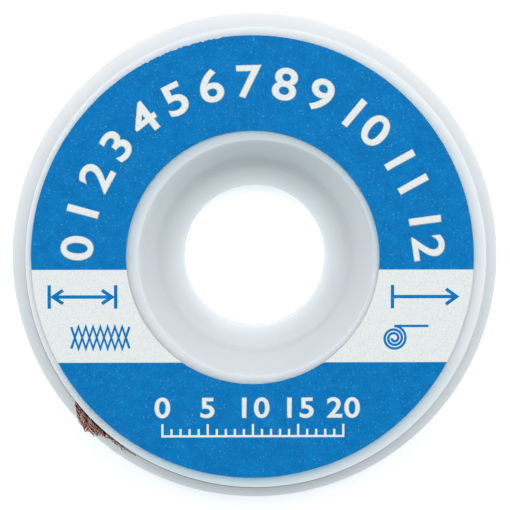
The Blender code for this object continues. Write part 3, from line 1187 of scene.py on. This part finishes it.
        # Start and end angle, start and end radius, swell and pitch of the curl in mm, and freshness.
        strays = np.array(
            [
                (226.0, 231.0, 26.30, 25.98, 0.22, 0.17, 0.55),
                (226.8, 232.6, 26.45, 25.96, 0.18, 0.13, 0.35),
                (228.6, 235.4, 25.95, 26.15, 0.12, 0.15, 0.10),
                (231.4, 236.0, 25.95, 26.22, 0.24, 0.12, 0.75),
                (233.0, 236.4, 26.02, 26.30, 0.26, 0.10, 0.60),
                (230.0, 238.9, 25.88, 26.00, 0.03, 0.30, 0.00),
            ]
        )
        start, end, near, far, size, pitch, copper_tone = strays.T[..., None]
        angle = np.radians(start + (end - start) * share)
        turn = angle * case.disc_radius / (pitch * MM) + start
        swell = size * MM * (first_swell + (1 - first_swell) * share)
        radius = (near + (far - near) * share) * MM + swell * np.cos(turn)
        height = case.shoulder_height(radius) + over_shoulder + swell * np.sin(turn)
        height = np.minimum(height, case.disc_underside - self.wire)
        points = np.stack([radius * np.cos(angle), radius * np.sin(angle), height], axis=-1)
        return points, copper_tone + 0 * share

    def roll(self) -> Surface:
        """The wound stretch, as one strip on a spiral.

        Point (i, j) = radius_i outwards + section_j, where the radius grows by one pitch a turn and the
        section is the flattened tube. Where a carrier folds over an edge, the edge swells a little.

        Returns:
            The strip, closed at both ends, with its UV map.
        """
        stations, sides, overlap_deg = 6000, 12, 1.5
        flat_swell, fold_swell = 0.75, 0.30
        turns = (self.roll_radius - self.bore_radius) / self.pitch
        end_angle = math.radians(self.leaves_roll_deg + overlap_deg)
        angle = end_angle - 2 * math.pi * turns * (1 - np.linspace(0.0, 1.0, stations))
        inner, outer = self.bore_radius + self.thickness / 2, self.roll_radius - self.thickness / 2
        radius = np.clip(np.linspace(self.bore_radius, self.roll_radius, stations), inner, outer)
        run = np.concatenate([[0.0], np.cumsum(np.diff(angle) * (radius[1:] + radius[:-1]) / 2)])
        around = (np.arange(sides) + 0.5) / sides
        x, y, out_x, out_y = self.section(around)
        fold = np.abs(np.sin(2 * math.pi * self.carriers * run / self.lay))[:, None] * np.abs(out_x)[None, :]
        swell = self.wire * (flat_swell + fold_swell * fold)
        outwards = radius[:, None] + (y + self.wire * out_y)[None, :]
        height = self.roll_middle + x[None, :] + swell * out_x[None, :]
        level = (outwards * np.cos(angle)[:, None], outwards * np.sin(angle)[:, None])
        grid = np.stack([*level, height], axis=-1)
        strip = tubes(grid[None], grid[:1].mean(axis=1), grid[-1:].mean(axis=1))
        pattern = np.stack(np.broadcast_arrays((run / self.lay)[:, None], around[None, :]), axis=-1)
        uv = pattern.reshape(-1, 2)[strip.quads]
        uv[strip.quads[:, 1] % sides == 0, 1:3, 1] += 1.0
        strip.corner_uv = np.concatenate([uv.reshape(-1, 2), np.zeros((strip.triangles.size, 2))])
        return strip

    def build(self, finish: DrawnCopper) -> list[Object]:
        """Make the roll, the woven free end and its loose wires.

        Args:
            finish: The copper.

        Returns:
            The roll and the free end.
        """
        roll = self.roll().piece("braid_roll", finish.woven_material(self.carriers, self.wires_each))
        sides, stray_radius = 5, 0.38 * self.wire
        woven = wires(*self.free_end_paths(), self.wire / 2, sides)
        loose = wires(*self.stray_paths(), stray_radius, sides)
        free_end = Surface.joined([woven, loose]).piece("braid_free_end", finish.wire_material())
        for piece in (roll, free_end):
            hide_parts("braid")
        return [roll, free_end]


@dataclass
class RingLabel:
    """The paper ring on the front disc, and the plain figures and marks printed on it."""

    case: SpoolCase
    ring: PrintedRing
    thickness: float = 0.12 * MM
    ink_thickness: float = 0.012 * MM
    columns: int = 1440
    figure_height: float = 3.68 * MM
    figure_base: float = 17.55 * MM
    figure_stretch: float = 1.15
    figure_spacing: float = 1.08
    type_height: float = 0.70
    type_weight: float = 0.027
    layer_step: float = 0.003 * MM
    row_start_deg: float = 181.5
    row_end_deg: float = -1.5
    rule_height: float = 2.35 * MM

    @property
    def top(self) -> float:
        """Height of the label's face."""
        return self.case.disc_top + self.thickness

    def paper(self) -> Surface:
        """The ring: point (a, j) = centre + radius (cos a, sin a), radius from the inner to the outer edge.

        The outer edge wanders by a few hundredths of a millimetre on a sum of sines, and is finely ragged
        where the cutter dragged, a short way left of the top. The rims are a little rounded.

        Returns:
            The closed ring.
        """
        angle = np.linspace(0.0, 2 * math.pi, self.columns, endpoint=False)[:, None]
        drag_from, drag_to, pulled_in = (96.0, 99.0), (118.0, 123.0), 0.05 * MM
        dragged = ease(np.degrees(angle), *drag_from) * (1 - ease(np.degrees(angle), *drag_to))
        outer = self.ring.outer - pulled_in * dragged
        # Share of the ragged stretch, size, waves round the ring and phase of each sine.
        sines = ((1.0, 0.015, 9, 1.0), (1.0, 0.009, 23, 0.0), (1.0, 0.006, 71, 0.0))
        sines += ((dragged, 0.032, 310, 0.0), (dragged, 0.032, 187, 2.0), (dragged, 0.032, 97, 0.0))
        for share, size, count, phase in sines:
            outer = outer + share * size * MM * np.sin(count * angle + phase)
        rim, support = 0.02 * MM, 0.08 * MM
        low, high = self.case.disc_top, self.top
        outer_side = [(-support, high), (-rim, high), (0.0, high - rim), (0.0, low + rim), (-rim, low)]
        radius = [outer + step for step, _ in outer_side]
        radius += [self.ring.inner - step + 0 * angle for step, _ in outer_side[::-1]]
        height = [level for _, level in outer_side] + [level for _, level in outer_side[::-1]]
        ring = turned(np.concatenate(radius, axis=1), np.array(height), self.columns)
        ring.points += np.array([self.ring.x, self.ring.y, 0.0])
        return ring

    def stroke(self, points: list[Pair], width: float, layer: int) -> Surface:
        """A printed line: a flat rectangular section carried along a polyline, with mitred joints.

        Args:
            points: Places in millimetres from the label's middle.
            width: Width of the line in metres.
            layer: Number of the print layer, so that lines that cross don't share a face.

        Returns:
            The closed strip, lying on the paper.
        """
        place = np.array(points) * MM
        step = unit(np.diff(place, axis=0))
        ahead = np.vstack([step, step[-1:]])
        behind = np.vstack([step[:1], step])
        along = unit(ahead + behind)
        side = np.stack([-along[:, 1], along[:, 0]], axis=1)
        sharpest = 0.4
        mitre = 1 / np.clip(np.abs(np.sum(along * ahead, axis=1, keepdims=True)), sharpest, 1.0)
        reach = side * mitre * width / 2
        place = place + np.array([self.ring.x, self.ring.y])
        left, right = place + reach, place - reach
        low = self.top - self.ink_thickness / 2
        high = self.top + self.ink_thickness / 2 + layer * self.layer_step
        edges = ((right, low), (left, low), (left, high), (right, high))
        grid = np.stack([np.column_stack([edge, np.full(len(edge), level)]) for edge, level in edges], axis=1)
        count = len(place)
        quads = grid_quads(count, 4, False, True)[:, ::-1]
        caps = np.array([[0, 1, 2, 3], [4 * count - 1, 4 * count - 2, 4 * count - 3, 4 * count - 4]])
        return Surface(grid.reshape(-1, 3), np.vstack([quads, caps]))

    def figures(self, marks: list[Mark], name: str, paper: Material) -> Object:
        """Set plain figures in the built-in typeface, a little emboldened and widened.

        A bevel as wide as the weight makes the strokes bolder. Flattened to the ink's thickness, it leaves
        each with the thin edge of a printed film.

        Args:
            marks: For each figure its digits, its height and the matrix that places it.
            name: Name of the piece.
            paper: Its finish.

        Returns:
            All the figures as one piece.
        """
        shape, weld = bmesh.new(), 0.0005 * MM
        for digits, height, matrix in marks:
            size = height / (self.type_height + 2 * self.type_weight)
            bold = self.type_weight * size
            curve = bpy.data.curves.new("figure", "FONT")
            curve.body = digits
            curve.size = size
            curve.align_x = "CENTER"
            curve.bevel_depth = bold
            curve.bevel_resolution = 0
            curve.resolution_u = 8
            curve.space_character = self.figure_spacing
            source = in_scene("figure", curve)
            bpy.context.view_layer.update()
            graph = bpy.context.evaluated_depsgraph_get()
            mesh = bpy.data.meshes.new_from_object(source.evaluated_get(graph))
            bpy.data.objects.remove(source)
            flattened = Matrix.Diagonal((self.figure_stretch, 1.0, self.ink_thickness / 2 / bold, 1.0))
            mesh.transform(matrix @ flattened @ Matrix.Translation((0.0, bold, 0.0)))
            shape.from_mesh(mesh)
            bpy.data.meshes.remove(mesh)
        bmesh.ops.remove_doubles(shape, verts=shape.verts, dist=weld)
        bmesh.ops.recalc_face_normals(shape, faces=shape.faces)
        mesh = bpy.data.meshes.new(name)
        shape.to_mesh(mesh)
        shape.free()
        mesh.materials.append(paper)
        return in_scene(name, mesh)

    def placed(self, x: float, y: float, turn: float) -> Matrix:
        """Matrix that lays a figure on the paper at (x, y) from the label's middle, turned by an angle."""
        place = Vector((self.ring.x + x, self.ring.y + y, self.top))
        return Matrix.Translation(place) @ Matrix.Rotation(turn, 4, "Z")

    def row_figures(self) -> list[Mark]:
        """Figures 0 to 12 in a row on an arc over the top of the label, with equal gaps between them.

        Returns:
            Digits, height and place of each.
        """
        last_figure, width_to_height = 12, 0.56 / 0.76
        names = [str(value) for value in range(last_figure + 1)]
        digit_width = width_to_height * self.figure_height * self.figure_stretch
        middle = self.figure_base + self.figure_height / 2
        widths = np.array([len(name) for name in names]) * math.degrees(digit_width / middle)
        gap = (self.row_start_deg - self.row_end_deg - widths.sum()) / (len(names) - 1)
        starts = self.row_start_deg - np.concatenate([[0.0], np.cumsum(widths[:-1] + gap)])
        angles = np.radians(starts - widths / 2)
        feet = (self.figure_base * np.cos(angles), self.figure_base * np.sin(angles), angles - math.pi / 2)
        return [(name, self.figure_height, self.placed(*foot)) for name, *foot in zip(names, *feet)]

    def rule_figures(self) -> list[Mark]:
        """Figures 0 to 20 along the straight rule below the hub.

        Returns:
            Digits, height and place of each.
        """
        left, level = -10, -17.75
        places = [(value, (left + value) * MM) for value in (0, 5, 10, 15, 20)]
        return [(str(value), self.rule_height, self.placed(x, level * MM, 0.0)) for value, x in places]

    def rule(self) -> Surface:
        """The straight rule: a base line with a tick at each millimetre, longer at each fifth.

        Returns:
            All its lines.
        """
        left, base, overhang, width = -10.0, -19.75, 0.12, 0.24 * MM
        short, long, fifth, last = 0.8, 1.35, 5, 20
        ticks = ((left + value, short if value % fifth else long) for value in range(last + 1))
        lines = [self.stroke([(left - overhang, base), (-left + overhang, base)], width, 0)]
        lines += [self.stroke([(x, base), (x, base + tall)], width, 1) for x, tall in ticks]
        return Surface.joined(lines)

    def symbols(self) -> Surface:
        """Blue marks in the bare band: a width sign, a strip of weave, a length sign and a wound roll.

        Returns:
            All their lines.
        """
        bold, fine, level, tall = 0.38 * MM, 0.28 * MM, -4.3, 1.3
        lines, clear, barb, spread = [], 0.42, 1.1, 0.75
        for x, way in ((-22.4, 1), (-15.1, -1)):
            tip, back = x + way * clear, x + way * (clear + barb)
            lines.append(([(x, level - tall), (x, level + tall)], bold, 0))
            lines.append(([(back, level + spread), (tip, level), (back, level - spread)], bold, 1))
        lines.append(([(-21.7, level), (-15.8, level)], bold, 2))
        low, high, first, tooth, teeth = -10.0, -7.6, -20.0, 0.8, 9
        for layer, (odd, even) in enumerate(((low, high), (high, low))):
            lines.append(([(first + tooth * i, odd if i % 2 else even) for i in range(teeth)], fine, layer))
        start, end, back, tip, spread = 15.4, 22.2, 21.3, 22.5, 0.85
        lines.append(([(start, level - tall), (start, level + tall)], bold, 0))
        lines.append(([(start, level), (end, level)], bold, 1))
        lines.append(([(back, level + spread), (tip, level), (back, level - spread)], bold, 2))
        turns, steps, hub, growth, roll_x, roll_y, tail_x = 2.75, 90, 0.25, 1.1, 15.6, -8.9, 19.4
        turn = np.linspace(0.0, turns * 2 * math.pi, steps)
        radius = hub + growth * turn / turn[-1]
        spiral = list(zip(roll_x - radius * np.cos(turn), roll_y - radius * np.sin(turn)))
        lines += [(spiral, fine, 0), ([spiral[-1], (tail_x, spiral[-1][1])], fine, 1)]
        return Surface.joined([self.stroke(*line) for line in lines])

    def build(self) -> list[Object]:
        """Make the paper ring and everything printed on it.

        Returns:
            The ring, the white figures, the white rule and the blue symbols.
        """
        banded, bare, blue = (LabelPaper(ink).material(self.ring) for ink in Ink)
        ring = self.paper().piece("label_paper_ring", banded)
        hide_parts("label")
        white = self.figures(self.row_figures() + self.rule_figures(), "label_figures", bare)
        rule = self.rule().piece("label_rule", bare, smooth=False)
        symbols = self.symbols().piece("label_symbols", blue, smooth=False)
        made = [ring, white, rule, symbols]
        return made


@dataclass
class Studio:
    """Light table, softbox, sky and camera."""

    lens_distance: float = 195.4 * MM
    half_view: float = 28.08 * MM
    aim: Vector = field(default_factory=lambda: Vector((-0.14 * MM, 0.38 * MM, DISC_HIGH.z)))
    lean_x: float = -0.0195
    lean_y: float = 0.0474
    table_radius: float = 1.6
    table_gap: float = 0.05 * MM
    softbox_place: tuple[float, float, float] = (0.0, 0.15, 0.37)
    softbox_width: float = 1.0
    softbox_height: float = 0.30
    softbox_watts: float = 1.52
    sky: str = "#F6F9FC"
    shade: str = "#7FABB2"
    shade_from: Pair = (-0.85, -0.25)
    sky_strength: float = 0.53
    side_strength: float = 0.66
    boards_from: Pair = (0.60, 0.95)

    def table(self) -> Object:
        """A flat round sheet: point (a, j) = radius_j (cos a, sin a), closed by a point in its middle.

        Returns:
            The sheet.
        """
        columns, hub_radius = 96, 0.5 * MM
        radius = np.array([hub_radius, self.table_radius])[None, :]
        angle = np.linspace(0.0, 2 * math.pi, columns, endpoint=False)[:, None]
        level = np.full((columns, 2), -self.table_gap)
        grid = np.stack([radius * np.cos(angle), radius * np.sin(angle), level], axis=-1).reshape(-1, 3)
        quads = grid_quads(columns, 2, True, False)
        spin = np.arange(columns)
        hub = np.stack([np.full(columns, len(grid)), spin * 2, (spin + 1) % columns * 2], axis=1)
        sheet = Surface(np.vstack([grid, [[0.0, 0.0, -self.table_gap]]]), quads, hub)
        obj = sheet.piece("light_table", OpalAcrylic().material(), smooth=False)
        return obj

    def softbox(self) -> None:
        """Add the wide softbox, which hangs over the top of the case and faces it.

        It gives the plastic its soft sheen, and shades the upper wall of the recess.
        """
        data = bpy.data.lights.new("softbox", "AREA")
        data.shape = "RECTANGLE"
        data.size = self.softbox_width
        data.size_y = self.softbox_height
        data.energy = self.softbox_watts
        lamp = in_scene("softbox", data)
        lamp.location = self.softbox_place
        lamp.rotation_euler = (-Vector(self.softbox_place)).to_track_quat("-Z", "Y").to_euler()

    def surround(self) -> None:
        """Add the pale room around the table.

        White boards stand at its left and right. Below the picture it is shaded, which darkens the lower
        shoulder of the case.
        """
        nodes = Nodes(bpy.data.worlds.new("studio_room"), "Background", "Generated")
        x, y = (nodes.add("SeparateXYZ", (nodes.place,), axis) for axis in "XY")
        front = nodes.add("MapRange", (y, *self.shade_from, 1.0, 0.0))
        sideways = nodes.add("Math", (x,), operation="ABSOLUTE")
        strength = nodes.add("MapRange", (sideways, *self.boards_from, self.sky_strength, self.side_strength))
        colour = nodes.add("Mix", {0: front, 6: self.sky, 7: self.shade}, 2, data_type="RGBA")
        bpy.context.scene.world = nodes.shaded({"Color": colour, "Strength": strength})

    def camera(self) -> None:
        """Look down on the front with +Y upright.

        The view leans a little towards the top and the left, as the photographer's did.
        """
        data = bpy.data.cameras.new("camera")
        data.sensor_width = 36.0
        data.lens = data.sensor_width / 2 * self.lens_distance / self.half_view
        data.clip_start, data.clip_end = 0.01, 10.0
        obj = in_scene("camera", data)
        back = Vector((self.lean_x, self.lean_y, 1.0)).normalized()
        right = Vector((0.0, 1.0, 0.0)).cross(back).normalized()
        turn = Matrix((right, back.cross(right), back)).transposed().to_4x4()
        obj.matrix_world = Matrix.Translation(self.aim + back * self.lens_distance) @ turn
        bpy.context.scene.camera = obj

    def build(self) -> None:
        """Set up the table, the light, the sky and the camera.

        The plain view transform keeps the colours as they are given.
        """
        self.table()
        self.softbox()
        self.surround()
        self.camera()
        bpy.context.scene.view_settings.view_transform = "Standard"


def main() -> None:
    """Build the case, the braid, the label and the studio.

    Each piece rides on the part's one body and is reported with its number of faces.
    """
    logging.basicConfig(level=logging.INFO, format="%(name)s: %(message)s")
    ring = PrintedRing()
    case = SpoolCase()
    made = case.build(MouldedPolypropylene(), ring)
    made += BraidStock(case).build(DrawnCopper())
    made += RingLabel(case, ring).build()
    for piece in made:
        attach(piece, BODY)
        LOG.info("%s: %d faces", piece.name, len(piece.data.polygons))
    Studio().build()


if __name__ == "__main__":
    main()
